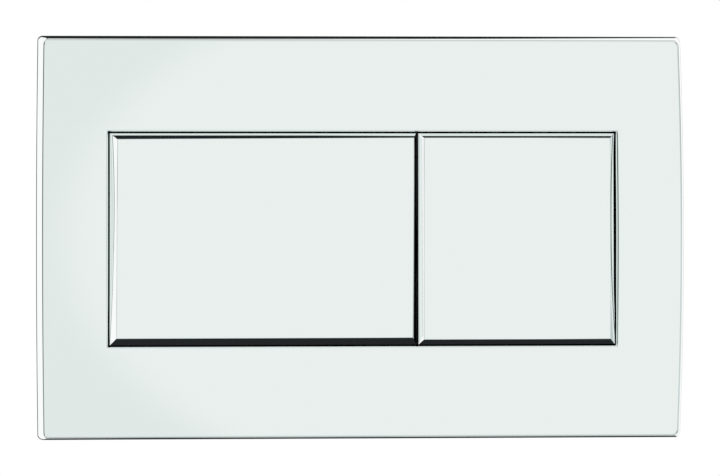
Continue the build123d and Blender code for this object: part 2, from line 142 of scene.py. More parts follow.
def share(name, description, default):
    """A share from 0 to 1 that the user can change."""
    return FloatProperty(name=name, description=description, default=default, min=0, max=1, subtype="FACTOR")


class FinishSettings(PropertyGroup):
    """Colours and gloss of the finishes."""

    chrome: colour("Chrome", "Tint of the bright chrome plating", "#F8FBFA")
    chrome_roughness: share("Chrome roughness", "Haze of the plating", 0.035)
    chrome_ripple: length("Chrome ripple", "Distance between the soft waves of the moulded face", 24.0, 1.0)
    # Near-black and dull inside the cover and the buttons so that the gaps read dark: painted shade over
    # unplated plastic.
    unplated_shade: colour("Bare plastic", "Unplated plastic inside the cover and the buttons", "#111213")
    black_abs: colour("Black plastic", "Mounting frame", "#1D1E20")
    mould_grain: length("Mould grain", "Distance between the pits of the moulded texture", 0.6, 0.05)
    white_acetal: colour("White acetal", "Rods, caps, locknuts and bushes", "#E6E5DE")
    grey_abs: colour("Grey plastic", "Hand nuts", "#8C8F92")
    stainless: colour("Stainless steel", "Pins, clips and springs", "#C9C8C5")
    zinc: colour("Zinc plating", "Studs and washers", "#C3C8CC")
    rubber: colour("Rubber", "Bumpers", "#201F1E")


class CoverSettings(PropertyGroup):
    """Sizes of the cover's outer faces."""

    crown: length("Crown", "Rise of the crowned front between its upper and lower edges", 5.0, 0.5)
    rim_depth: length("Rim depth", "Depth of the rim behind the crowned front", 8.2, 1.0)
    side_draft: angle("Side draft", "Lean of the left and right rims", 21)
    end_draft: angle("End draft", "Lean of the upper and lower rims", 15)
    bulge: length("Bulge", "How far the rims bulge between front and back", 0.35)
    corner_radius: length("Corner radius", "Radius of the four corners", 2.0, 0.1)
    edge_radius: length("Edge radius", "Radius of the edge round the front", 0.8, 0.05)
    window_width: length("Window width", "Width of the window for the buttons", 194.0, 20.0)
    window_height: length("Window height", "Height of the window for the buttons", 81.7, 20.0)
    window_radius: length("Window edge radius", "Radius of the edge round the window", 1.1, 0.05)
    plated_depth: length("Plated depth", "How far the plating reaches into the window", 2.2, 0.5)
    plating: length("Plating", "Thickness of the chrome layer over the moulding", 0.06, 0.005)


class RimSettings(PropertyGroup):
    """Sizes that the faces of both buttons share."""

    half_height: length("Rim half height", "Half the height of the rim", 40.3, 10.0)
    low: length("Lower rim", "How far the lower rim stands in front of the wall", 11.7, 5.0)
    high: length("Upper rim", "How far the upper rim stands in front of the wall", 10.85, 5.0)
    edge: length("Edge radius", "Radius of the edges round the face", 0.55, 0.05)


class FullFaceSettings(PropertyGroup):
    """Sizes of the large button's bevelled face."""

    rim_left: length("Rim left", "Place of the rim's left edge", -96.4, -200.0)
    rim_right: length("Rim right", "Place of the rim's right edge", 20.25, -200.0)
    left_upper: length("Left bevel, top", "Width of the left bevel at its top", 3.1, 0.5)
    left_lower: length("Left bevel, bottom", "Width of the left bevel at its bottom", 2.8, 0.5)
    right_upper: length("Right bevel, top", "Width of the right bevel at its top", 1.05, 0.5)
    right_lower: length("Right bevel, bottom", "Width of the right bevel at its bottom", 1.6, 0.5)
    upper_left: length("Upper bevel, left", "Width of the upper bevel at its left end", 2.4, 0.5)
    upper_right: length("Upper bevel, right", "Width of the upper bevel at its right end", 1.85, 0.5)
    lower: length("Lower bevel", "Width of the lower bevel", 3.05, 0.5)
    rise: length("Rise", "Height of the face's middle over the rim", 2.42, 0.5)
    fall_right: length("Fall to the right", "How much lower the face's right end lies than its left end", 1.0)
    fall_up: length("Fall to the top", "How much lower over the rim the face's top lies than its bottom", 0.5)


class HalfFaceSettings(PropertyGroup):
    """Sizes of the small button's bevelled face."""

    rim_left: length("Rim left", "Place of the rim's left edge", 21.15, -200.0)
    rim_right: length("Rim right", "Place of the rim's right edge", 96.4, -200.0)
    left_upper: length("Left bevel, top", "Width of the left bevel at its top", 2.05, 0.5)
    left_lower: length("Left bevel, bottom", "Width of the left bevel at its bottom", 1.95, 0.5)
    right_upper: length("Right bevel, top", "Width of the right bevel at its top", 2.05, 0.5)
    right_lower: length("Right bevel, bottom", "Width of the right bevel at its bottom", 2.05, 0.5)
    upper_left: length("Upper bevel, left", "Width of the upper bevel at its left end", 1.85, 0.5)
    upper_right: length("Upper bevel, right", "Width of the upper bevel at its right end", 1.85, 0.5)
    lower: length("Lower bevel", "Width of the lower bevel", 2.3, 0.5)
    rise: length("Rise", "Height of the face's middle over the rim", 2.06, 0.5)
    fall_right: length("Fall to the right", "How much lower the face's right end lies than its left end", 0.0)
    fall_up: length(
        "Fall to the top", "How much lower over the rim the face's top lies than its bottom", 0.04,
    )


class SpringSettings(PropertyGroup):
    """Sizes of the return springs."""

    wire: length("Wire", "Diameter of the spring wire", 0.9, 0.2)
    mean_radius: length("Mean radius", "Radius of the wire's middle", 3.6, 1.0)
    active_turns: FloatProperty(
        name="Active turns", description="Open turns of the coil", default=4.0, min=1, max=12,
    )
    closed_turns: FloatProperty(
        name="Closed turns", description="Turns that lie close at each end", default=1.0, min=0.25, max=3,
    )
    pressed_share: share("Pressed length", "Share of the length that is left when the button is pressed", 0.6)


class ThreadSettings(PropertyGroup):
    """Sizes of the threads."""

    stud_pitch: length("Stud pitch", "Advance of the stud's thread in one turn", 1.25, 0.2)
    stud_depth: length("Stud thread depth", "Height of the stud's thread", 0.62, 0.05)
    rod_pitch: length("Rod pitch", "Advance of the rod's thread in one turn", 1.6, 0.2)
    rod_depth: length("Rod thread depth", "Height of the rod's thread", 0.4, 0.05)
    steps: IntProperty(name="Steps", description="Straight pieces in one turn", default=20, min=6, max=64)


class StageSettings(PropertyGroup):
    """Camera, floor and light."""

    camera_place: FloatVectorProperty(
        name="Camera place", description="Where the camera stands", default=(-0.0598, -0.600, 0.0335),
        unit="LENGTH", subtype="TRANSLATION",
    )
    camera_yaw: angle("Camera turn", "How far the camera turns to the right", 1.43)
    camera_lens: FloatProperty(name="Lens", description="Focal length in millimetres", default=77.37, min=10)
    shift_x: FloatProperty(name="Shift right", description="Sideways shift of the frame", default=0.16)
    shift_y: FloatProperty(name="Shift up", description="Upward shift of the frame", default=-0.1207)
    floor_drop: length("Floor drop", "How far the floor lies below the middle of the plate", 300.0, 90.0)
    floor_radius: length("Floor radius", "Reach of the floor", 800.0, 100.0)
    floor: colour("Floor", "Pale floor", "#ECECEA")
    tent: colour("Tent", "Plain cloth of the light tent", "#FFFFFF")


class FlushPlateSettings(PropertyGroup):
    """All settings of the flush plate."""

    finish: PointerProperty(type=FinishSettings)
    cover: PointerProperty(type=CoverSettings)
    rim: PointerProperty(type=RimSettings)
    full_face: PointerProperty(type=FullFaceSettings)
    half_face: PointerProperty(type=HalfFaceSettings)
    spring: PointerProperty(type=SpringSettings)
    thread: PointerProperty(type=ThreadSettings)
    stage: PointerProperty(type=StageSettings)


def new_material(name):
    """Empty node material with its shader and its Object coordinates."""
    material = bpy.data.materials.new(name)
    material.use_nodes = True
    tree = material.node_tree
    tree.nodes.clear()
    place = add_node(tree, "ShaderNodeTexCoord").outputs["Object"]
    shader = add_node(tree, "ShaderNodeBsdfPrincipled")
    add_node(tree, "ShaderNodeOutputMaterial", {"Surface": shader.outputs["BSDF"]})
    return material, tree, place, shader


def vary_surface(tree, shader, tint, rough, bump):
    """Let textures vary the colour, roughness and bumps of a surface.

    Each of the three is a texture's output and two values: the colours to mix, the least and the greatest
    roughness, or the strength and the height of the bumps.
    """
    mixed = add_node(tree, "ShaderNodeMix", dict(zip(("Factor", "A", "B"), tint)), data_type="RGBA")
    ranged = add_node(tree, "ShaderNodeMapRange", dict(zip(("Value", "To Min", "To Max"), rough)))
    raised = add_node(tree, "ShaderNodeBump", dict(zip(("Height", "Strength", "Distance"), bump)))
    tree.links.new(mixed.outputs["Result"], shader.inputs["Base Color"])
    tree.links.new(ranged.outputs[0], shader.inputs["Roughness"])
    tree.links.new(raised.outputs[0], shader.inputs["Normal"])


def inside_box(tree, place, low_mm, high_mm):
    """1 where a point lies in a box given in millimetres, else 0."""
    middle = [(low + high) / 2 * MM for low, high in zip(low_mm, high_mm)]
    half = [(high - low) / 2 * MM for low, high in zip(low_mm, high_mm)]
    offset = add_node(tree, "ShaderNodeVectorMath", {0: place, 1: middle}, operation="SUBTRACT")
    away = add_node(tree, "ShaderNodeVectorMath", {0: offset.outputs[0]}, operation="ABSOLUTE")
    depth = add_node(tree, "ShaderNodeVectorMath", {0: half, 1: away.outputs[0]}, operation="SUBTRACT")
    parts = add_node(tree, "ShaderNodeSeparateXYZ", {0: depth.outputs[0]})
    least = add_node(tree, "ShaderNodeMath", {0: parts.outputs[0], 1: parts.outputs[1]}, operation="MINIMUM")
    least = add_node(tree, "ShaderNodeMath", {0: least.outputs[0], 1: parts.outputs[2]}, operation="MINIMUM")
    inside = add_node(tree, "ShaderNodeMath", {0: least.outputs[0], 1: 0.0}, operation="GREATER_THAN")
    return inside.outputs[0]


def inside_crown(tree, place, axis_y, radius):
    """1 where a point lies within a radius of the crown's axis, else 0."""
    offset = add_node(tree, "ShaderNodeVectorMath", {0: place, 1: (0, axis_y, 0)}, operation="SUBTRACT")
    no_x = (0, 1, 1)
    across = add_node(tree, "ShaderNodeVectorMath", {0: offset.outputs[0], 1: no_x}, operation="MULTIPLY")
    distance = add_node(tree, "ShaderNodeVectorMath", {0: across.outputs[0]}, operation="LENGTH")
    compared = {0: distance.outputs["Value"], 1: radius}
    return add_node(tree, "ShaderNodeMath", compared, operation="LESS_THAN").outputs[0]


def chrome_plated_abs(name, finish, unplated_shade_mask=None):
    """Bright chrome over moulded ABS.

    The plating is a mirror with a cool cast. A soft ripple of the moulded face bends reflections a little,
    and the recesses, hollows and sides in the gaps are drawn as near-black, dull unplated plastic with little
    gloss: painted shade that keeps the gaps dark.
    """
    material, tree, place, shader = new_material(name)
    haze = add_node(tree, "ShaderNodeTexNoise", {"Vector": place, "Scale": 1 / (9 * MM), "Detail": 3.0})
    rough = add_node(tree, "ShaderNodeMapRange", {
        "Value": haze.outputs[0],
        "To Min": finish.chrome_roughness * 0.6,
        "To Max": finish.chrome_roughness * 1.4,
    })
    ripple = add_node(tree, "ShaderNodeTexNoise", {
        "Vector": place, "Scale": 1 / finish.chrome_ripple, "Detail": 1.0,
    })
    bump = add_node(tree, "ShaderNodeBump", {
        "Height": ripple.outputs[0], "Strength": 0.05, "Distance": 0.05 * MM,
    })
    shader.inputs["Base Color"].default_value = finish.chrome
    shader.inputs["Metallic"].default_value = 1.0
    # Where the mask is 1, the plating gives way to near-black plastic with a weak reflection: painted shade
    # in the recesses and gaps.
    if unplated_shade_mask:
        unplated_shade = unplated_shade_mask(tree, place)
        rough = add_node(tree, "ShaderNodeMix", {"Factor": unplated_shade, "A": rough.outputs[0], "B": 0.5})
        tint = add_node(tree, "ShaderNodeMix", {
            "Factor": unplated_shade, "A": finish.chrome, "B": finish.unplated_shade,
        }, data_type="RGBA")
        plated = add_node(tree, "ShaderNodeMath", {0: 1.0, 1: unplated_shade}, operation="SUBTRACT")
        tree.links.new(tint.outputs["Result"], shader.inputs["Base Color"])
        tree.links.new(plated.outputs[0], shader.inputs["Metallic"])
        shader.inputs["Specular IOR Level"].default_value = 0.1
    tree.links.new(rough.outputs[0], shader.inputs["Roughness"])
    tree.links.new(bump.outputs[0], shader.inputs["Normal"])
    return material


def moulded_plastic(name, base, grain, gloss):
    """Injection-moulded ABS with the fine pitted grain of a spark-eroded mould.

    The grain breaks up highlights into a soft satin sheen, and faint clouds come from the melt's flow.
    The pits are drawn a little coarser than real ones so that they show.
    """
    material, tree, place, shader = new_material(name)
    flow = add_node(tree, "ShaderNodeTexNoise", {"Vector": place, "Scale": 1 / (18 * MM), "Detail": 4.0})
    pits = add_node(tree, "ShaderNodeTexNoise", {"Vector": place, "Scale": 1 / grain, "Detail": 2.0})
    dark = [channel * 0.8 for channel in base[:3]] + [1.0]
    pale = [min(1.0, channel * 1.25) for channel in base[:3]] + [1.0]
    vary_surface(
        tree, shader,
        tint=(flow.outputs[0], dark, pale),
        rough=(pits.outputs[0], gloss - 0.08, gloss + 0.12),
        bump=(pits.outputs[0], 0.35, 0.05 * MM),
    )
    shader.inputs["IOR"].default_value = 1.54
    return material


def turned_acetal(name, base):
    """White acetal, turned and moulded.

    It is slightly waxy, with light that soaks in a little, and fine rings left across its length.
    """
    material, tree, place, shader = new_material(name)
    rings = add_node(tree, "ShaderNodeTexWave", {
        "Vector": place, "Scale": 1 / (3 * MM), "Distortion": 1.5, "Detail": 2.0,
    }, bands_direction="Y")
    cloud = add_node(tree, "ShaderNodeTexNoise", {"Vector": place, "Scale": 1 / (7 * MM), "Detail": 3.0})
    warm = [base[0], base[1] * 0.985, base[2] * 0.94, 1.0]
    vary_surface(
        tree, shader,
        tint=(cloud.outputs[0], base, warm),
        rough=(rings.outputs["Fac"], 0.3, 0.45),
        bump=(rings.outputs["Fac"], 0.15, 0.03 * MM),
    )
    shader.inputs["IOR"].default_value = 1.48
    shader.inputs["Subsurface Weight"].default_value = 0.12
    shader.inputs["Subsurface Radius"].default_value = (1.2 * MM, 1.0 * MM, 0.8 * MM)
    shader.inputs["Subsurface Scale"].default_value = 1.0
    return material


def drawn_steel(name, base):
    """Bright stainless steel, drawn as wire or rolled as strip.

    Fine streaks along the piece spread its highlights in one direction.
    The streaks are drawn coarser than real ones so that they show.
    """
    material, tree, place, shader = new_material(name)
    stretched = add_node(tree, "ShaderNodeMapping", {
        "Vector": place, "Scale": (1 / (6 * MM), 1 / (0.3 * MM), 1 / (0.3 * MM)),
    })
    streaks = add_node(tree, "ShaderNodeTexNoise", {
        "Vector": stretched.outputs[0], "Scale": 1.0, "Detail": 3.0,
    })
    dark = [channel * 0.85 for channel in base[:3]] + [1.0]
    vary_surface(
        tree, shader,
        tint=(streaks.outputs[0], dark, base),
        rough=(streaks.outputs[0], 0.18, 0.36),
        bump=(streaks.outputs[0], 0.1, 0.02 * MM),
    )
    shader.inputs["Metallic"].default_value = 1.0
    return material


def zinc_plated_steel(name, base):
    """Zinc plating with a clear passivate.

    It is a satin metal with faint blue and straw clouds and small dull spots.
    """
    material, tree, place, shader = new_material(name)
    cloud = add_node(tree, "ShaderNodeTexNoise", {"Vector": place, "Scale": 1 / (8 * MM), "Detail": 4.0})
    spots = add_node(tree, "ShaderNodeTexNoise", {"Vector": place, "Scale": 1 / (1.2 * MM), "Detail": 2.0})
    straw = [base[0] * 1.02, base[1] * 0.97, base[2] * 0.82, 1.0]
    blue = [base[0] * 0.86, base[1] * 0.93, base[2], 1.0]
    vary_surface(
        tree, shader,
        tint=(cloud.outputs[0], straw, blue),
        rough=(spots.outputs[0], 0.25, 0.5),
        bump=(spots.outputs[0], 0.12, 0.03 * MM),
    )
    shader.inputs["Metallic"].default_value = 1.0
    return material


def moulded_rubber(name, base):
    """Moulded rubber: dull, nearly black, with a pale bloom in patches and a fine grain."""
    material, tree, place, shader = new_material(name)
    bloom = add_node(tree, "ShaderNodeTexNoise", {"Vector": place, "Scale": 1 / (3 * MM), "Detail": 4.0})
    grain = add_node(tree, "ShaderNodeTexNoise", {"Vector": place, "Scale": 1 / (0.4 * MM), "Detail": 2.0})
    pale = [channel * 2.2 for channel in base[:3]] + [1.0]
    vary_surface(
        tree, shader,
        tint=(bloom.outputs[0], base, pale),
        rough=(bloom.outputs[0], 0.65, 0.85),
        bump=(grain.outputs[0], 0.3, 0.04 * MM),
    )
    shader.inputs["IOR"].default_value = 1.52
    return material


def dress(names, material):
    """Give CAD nodes a finish."""
    for name in names:
        for slot in nodes[name].material_slots:
            slot.material = material


def finish_mesh(bm, name, material, body, replaced):
    """Turn a finished bmesh into a piece that rides on a body and stands for CAD nodes."""
    bmesh.ops.remove_doubles(bm, verts=bm.verts[:], dist=WELD)
    bmesh.ops.recalc_face_normals(bm, faces=bm.faces[:])
    mesh = bpy.data.meshes.new(name)
    bm.to_mesh(mesh)
    bm.free()
    if "custom_normal" in mesh.attributes:
        mesh.attributes.remove(mesh.attributes["custom_normal"])
    mesh.shade_smooth()
    mesh.set_sharp_from_angle(angle=SHARP_ANGLE)
    mesh.materials.append(material)
    piece = bpy.data.objects.new(name, mesh)
    bpy.context.scene.collection.objects.link(piece)
    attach(piece, body)
    if replaced:
        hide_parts(*replaced)
    return piece


def even_shading(piece):
    """Let large flat faces keep their own normals up to the rounded edges beside them."""
    even = piece.modifiers.new("even edges", "WEIGHTED_NORMAL")
    even.mode = "FACE_AREA"
    even.keep_sharp = True


def crown_circle(cover):
    """Radius of the crowned front, and the Y of its axis."""
    low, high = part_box("cover_plate")
    radius = (high[2] ** 2 + cover.crown**2) / (2 * cover.crown)
    return radius, low[1] + radius


def grow(bm, edges):
    """Draw edges out into new faces, and return the new points, which still lie on the old ones."""
    grown = bmesh.ops.extrude_edge_only(bm, edges=edges)["geom"]
    return [item for item in grown if isinstance(item, bmesh.types.BMVert)]


def cut(bm, point, normal, clear_outer=False):
    """Cut everything with a plane, and take off what lies beyond it where that is asked for."""
    everything = bm.verts[:] + bm.edges[:] + bm.faces[:]
    bmesh.ops.bisect_plane(bm, geom=everything, plane_co=point, plane_no=normal, clear_outer=clear_outer)


def round_off(bm, edges, offset, segments):
    """Round edges off."""
    bmesh.ops.bevel(
        bm, geom=edges, offset=offset, offset_type="OFFSET", segments=segments, profile=0.5,
        affect="EDGES", material=-1, loop_slide=False, clamp_overlap=True,
    )


def move_into_box(bm, low, high):
    """Move what was made about the Y axis into the middle of its CAD box, and return that middle."""
    middle = Vector(((low[0] + high[0]) / 2, 0, (low[2] + high[2]) / 2))
    bmesh.ops.translate(bm, vec=middle, verts=bm.verts[:])
    return middle


def close_ends(bm):
    """Close every open end with a face."""
    rims = [edge for edge in bm.edges if edge.is_boundary]
    bmesh.ops.holes_fill(bm, edges=rims, sides=0)


def wind(bm, stages, steps):
    """Wind what the bmesh holds about the Y axis, through stages of turns and advances."""
    geom = bm.verts[:] + bm.edges[:]
    for turns, advance in stages:
        count = max(1, round(turns * steps))
        wound = bmesh.ops.spin(
            bm, geom=geom, cent=(0, 0, 0), axis=(0, 1, 0), dvec=(0, advance / count, 0),
            angle=math.tau * turns, steps=count, use_merge=False, use_normal_flip=False, use_duplicate=False,
        )
        geom = wound["geom_last"]
    close_ends(bm)


def lathe(bm, profile, steps):
    """Turn a profile of radius and Y about the Y axis."""
    points = [bm.verts.new((radius, y, 0)) for radius, y in profile]
    edges = [bm.edges.new(pair) for pair in zip(points, points[1:])]
    bmesh.ops.spin(
        bm, geom=points + edges, cent=(0, 0, 0), axis=(0, 1, 0), dvec=(0, 0, 0),
        angle=math.tau, steps=steps, use_merge=True, use_normal_flip=False, use_duplicate=False,
    )
    bmesh.ops.remove_doubles(bm, verts=bm.verts[:], dist=WELD)


def add_thread(bm, root, crest, pitch, y_from, y_to, steps):
    """Add a threaded length: a ridge wound about the Y axis, with its foot sunk in the core."""
    ridge = bmesh.new()
    foot = pitch * 0.46
    top = pitch * 0.09
    sunk = root - 0.12 * (crest - root)
    outline = [(sunk, -foot), (sunk, foot), (crest, top), (crest, -top)]
    corners = [ridge.verts.new((radius, y_from + foot + y, 0)) for radius, y in outline]
    for corner, following in zip(corners, corners[1:] + corners[:1]):
        ridge.edges.new((corner, following))
    advance = y_to - y_from - 2 * foot
    wind(ridge, [(advance / pitch, advance)], steps)
    made = bpy.data.meshes.new("thread")
    ridge.to_mesh(made)
    ridge.free()
    bm.from_mesh(made)
    bpy.data.meshes.remove(made)


class FLUSHPLATE_OT_chrome(Operator):
    """Plate the cover and the two buttons."""

    bl_idname = "flush_plate.chrome"
    bl_label = "Plate cover and buttons"

    def execute(self, context):
        finish = context.scene.flush_plate.finish
        cover_mask = self.cover_painted_shade(context.scene.flush_plate.cover)
        dress(["cover_plate"], chrome_plated_abs("chrome_plated_abs_cover", finish, cover_mask))
        for button in BUTTONS:
            button_mask = self.button_painted_shade(button)
            chrome = chrome_plated_abs(f"chrome_plated_abs_{button}_button", finish, button_mask)
            dress([f"{button}_flush_button"], chrome)
        return {"FINISHED"}

    def cover_painted_shade(self, cover):
        """Mask of the cover's inside, drawn as near-black unplated plastic: painted shade."""
        radius, axis_y = crown_circle(cover)

        def mask(tree, place):
            hollow = inside_box(tree, place, *COVER_HOLLOW)
            behind = inside_crown(tree, place, axis_y, radius - cover.plated_depth)
            return add_node(tree, "ShaderNodeMath", {0: hollow, 1: behind}, operation="MULTIPLY").outputs[0]

        return mask

    def button_painted_shade(self, button):
        """Mask of a button's hollow and of its sides, drawn as near-black unplated plastic: painted shade in
        the gaps.
        Its lengths are in millimetres.
        """
        low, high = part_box(f"{button}_flush_button")
        left, right = low[0] / MM, high[0] / MM
        outer_lip, wall = 2.4, 1
        sides_front, hollow_front, hollow_half_height = -9.4, -11.3, 39.2
        beside, rear, far_up = 4, 12, 60
        if button == "full":
            left += outer_lip
        else:
            right -= outer_lip

        def mask(tree, place):
            sides = inside_box(
                tree, place, (left - beside, sides_front, -far_up), (right + beside, rear, far_up),
            )
            hollow = inside_box(
                tree, place,
                (left + wall, hollow_front, -hollow_half_height), (right - wall, rear, hollow_half_height),
            )
            return add_node(tree, "ShaderNodeMath", {0: sides, 1: hollow}, operation="MAXIMUM").outputs[0]

        return mask


class FLUSHPLATE_OT_plating(Operator):
    """Lay the chrome layer over the cover's front, rims and window edge."""

    bl_idname = "flush_plate.plating"
    bl_label = "Plate the cover's outer faces"

    def execute(self, context):
        settings = context.scene.flush_plate
        cover = settings.cover
        low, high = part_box("cover_plate")
        self.half_width, self.half_height = high[0], high[2]
        self.radius, self.axis_y = crown_circle(cover)
        bm = bmesh.new()
        self.lay_front(bm, cover)
        self.draw_rims(bm, cover)
        self.draw_collar(bm, cover)
        self.round_edges(bm, cover)
        self.bend(bm)
        bmesh.ops.recalc_face_normals(bm, faces=bm.faces[:])
        bm.normal_update()
        for vert in bm.verts:
            vert.co += vert.normal * cover.plating
            vert.co.x = max(low[0], min(high[0], vert.co.x))
            vert.co.z = max(low[2], min(high[2], vert.co.z))
        bmesh.ops.solidify(bm, geom=bm.faces[:], thickness=cover.plating)
        chrome = chrome_plated_abs("chrome_plated_abs_polished", settings.finish)
        even_shading(finish_mesh(bm, "cover_plating", chrome, "housing", []))
        return {"FINISHED"}

    def rim_reach(self, cover, part):
        """Half width, depth and half height of the rim's outline at a part of its depth, from 0 to 1."""
        out = 4 * cover.bulge * part * (1 - part)
        run = cover.rim_depth * math.tan(cover.side_draft)
        half_width = self.half_width - run * (1 - part) + out * math.cos(cover.side_draft)
        depth = cover.rim_depth * part - out * math.sin(cover.side_draft)
        end_run = (cover.rim_depth - depth) * math.tan(cover.end_draft)
        half_height = self.half_height - end_run + out * math.cos(cover.end_draft)
        return half_width, depth, half_height

    def lay_front(self, bm, cover):
        """Flat front with its window. Y is the depth behind the front until the whole layer is bent."""
        half_width, _, half_height = self.rim_reach(cover, 0)
        bmesh.ops.create_grid(bm, x_segments=1, y_segments=1, size=1)
        upright = Matrix.Rotation(math.pi / 2, 3, "X")
        bmesh.ops.rotate(bm, cent=(0, 0, 0), matrix=upright, verts=bm.verts[:])
        window = (cover.window_width / 2, 1, cover.window_height / 2)
        bmesh.ops.scale(bm, vec=window, verts=bm.verts[:])
        inner = bm.faces[:]
        corners = grow(bm, bm.edges[:])
        outwards = (half_width / window[0], 1, half_height / window[2])
        bmesh.ops.scale(bm, vec=outwards, verts=corners)
        bmesh.ops.delete(bm, geom=inner, context="FACES_ONLY")

    def open_edges(self, bm, cover, inside):
        """Open edges of the window, or those of the outer outline."""
        reach = cover.window_width / 2 + cover.plating
        edges = [edge for edge in bm.edges if edge.is_boundary]
        return [edge for edge in edges if all(abs(v.co.x) < reach for v in edge.verts) == inside]

    def draw_rims(self, bm, cover):
        """Draw the outer outline back in steps along the bulged rims."""
        steps = 8
        for step in range(1, steps + 1):
            half_width, depth, half_height = self.rim_reach(cover, step / steps)
            for vert in grow(bm, self.open_edges(bm, cover, inside=False)):
                vert.co.x = math.copysign(half_width, vert.co.x)
                vert.co.y = depth
                vert.co.z = math.copysign(half_height, vert.co.z)

    def draw_collar(self, bm, cover):
        """Draw the window's outline back into the window."""
        rear = grow(bm, self.open_edges(bm, cover, inside=True))
        bmesh.ops.translate(bm, vec=(0, cover.plated_depth, 0), verts=rear)

    def round_edges(self, bm, cover):
        """Round the four corners, the edge round the front and the edge round the window."""
        tiny = 0.001 * MM

        def changes(edge, axis):
            return abs(edge.verts[0].co[axis] - edge.verts[1].co[axis]) > tiny

        def is_flat(face):
            return all(abs(vert.co.y) < tiny for vert in face.verts)

        def parts_front(edge):
            return len(edge.link_faces) == 2 and is_flat(edge.link_faces[0]) != is_flat(edge.link_faces[1])

        def front_edges(inside):
            reach = cover.window_width / 2 + tiny
            edges = [edge for edge in bm.edges if parts_front(edge)]
            return [edge for edge in edges if all(abs(v.co.x) < reach for v in edge.verts) == inside]

        corners = [edge for edge in bm.edges if all(changes(edge, axis) for axis in range(3))]
        round_off(bm, corners, cover.corner_radius, segments=6)
        half_turn = (math.pi / 2 - cover.side_draft) / 2
        round_off(bm, front_edges(inside=False), cover.edge_radius * math.tan(half_turn), segments=6)
        round_off(bm, front_edges(inside=True), cover.window_radius, segments=8)

    def bend(self, bm):
        """Cut the layer into level strips and bend it over the crown."""
        strip = 4.0 * MM
        count = math.floor(self.half_height / strip)
        for step in range(-count, count + 1):
            cut(bm, (0, 0, step * strip), (0, 0, 1))
        for vert in bm.verts:
            reach = self.radius - vert.co.y
            vert.co.y = self.axis_y - math.sqrt(reach**2 - vert.co.z**2)


class FLUSHPLATE_OT_faces(Operator):
    """Give each button its flat face, with a bevel of its own width on each side."""

    bl_idname = "flush_plate.faces"
    bl_label = "Face the buttons"

    def execute(self, context):
        settings = context.scene.flush_plate
        for button, face in (("full", settings.full_face), ("half", settings.half_face)):
            self.face_button(f"{button}_flush_button", button, settings.rim, face)
        return {"FINISHED"}

    def face_button(self, node, button, rim, face):
        """Take off what stands in front of the leaning rim, and draw the rim out to a flat face."""
        bm = bmesh.new()
        bm.from_mesh(nodes[node].data)
        seam = 0.001 * MM
        bmesh.ops.remove_doubles(bm, verts=bm.verts[:], dist=seam)
        tiny = 0.005 * MM
        old = [f for f in bm.faces if all(v.co.y < self.rim_y(rim, v.co.z) + tiny for v in f.verts)]
        bmesh.ops.delete(bm, geom=old, context="FACES")
        corners = grow(bm, [edge for edge in bm.edges if edge.is_boundary])
        middle = (face.rim_left + face.rim_right) / 2
        for corner in corners:
            corner.co = self.on_face(rim, face, corner.co.x < middle, corner.co.z > 0)
        close_ends(bm)
        edges = [edge for edge in bm.edges if all(vert in corners for vert in edge.verts)]
        half_turn = math.pi / 8
        round_off(bm, edges, rim.edge * math.tan(half_turn), segments=3)
        chrome = bpy.data.materials[f"chrome_plated_abs_{button}_button"]
        name = f"faced_{button}_button"
        even_shading(finish_mesh(bm, name, chrome, f"{button}_button", [node]))

    def rim_y(self, rim, z):
        """Place of the leaning rim at a height."""
        part = (z / rim.half_height + 1) / 2
        return -rim.low + (rim.low - rim.high) * part

    def on_face(self, rim, face, is_left, is_upper):
        """Corner of the flat face."""
        upper = face.upper_left if is_left else face.upper_right
        left = face.left_upper if is_upper else face.left_lower
        right = face.right_upper if is_upper else face.right_lower
        x = face.rim_left + left if is_left else face.rim_right - right
        z = rim.half_height - upper if is_upper else face.lower - rim.half_height
        middle = (face.rim_left + face.rim_right) / 2
        across = (x - middle) / (face.rim_right - face.rim_left)
        up = z / (2 * rim.half_height)
        rise = face.rise - face.fall_right * across - face.fall_up * up
        return Vector((x, self.rim_y(rim, z) - rise, z))


class FLUSHPLATE_OT_frame(Operator):
    """Finish the moulded frame and the hand nuts."""

    bl_idname = "flush_plate.frame"
    bl_label = "Finish frame and nuts"

    def execute(self, context):
        finish = context.scene.flush_plate.finish
        grain = finish.mould_grain
        black = moulded_plastic("black_abs_moulded", list(finish.black_abs), grain, gloss=0.48)
        grey = moulded_plastic("grey_abs_moulded", list(finish.grey_abs), grain, gloss=0.5)
        dress(["mounting_frame"], black)
        dress([f"fixing_nut_{side}" for side in SIDES], grey)
        return {"FINISHED"}


class FLUSHPLATE_OT_steel(Operator):
    """Finish the hinge pins and the retaining clips."""

    bl_idname = "flush_plate.steel"
    bl_label = "Finish pins and clips"

    def execute(self, context):
        steel = drawn_steel("stainless_steel_drawn", list(context.scene.flush_plate.finish.stainless))
        dress([f"{button}_hinge_pin_{side}" for button in BUTTONS for side in SIDES], steel)
        dress([f"retaining_clip_{level}_{side}" for level in ("upper", "lower") for side in SIDES], steel)
        return {"FINISHED"}


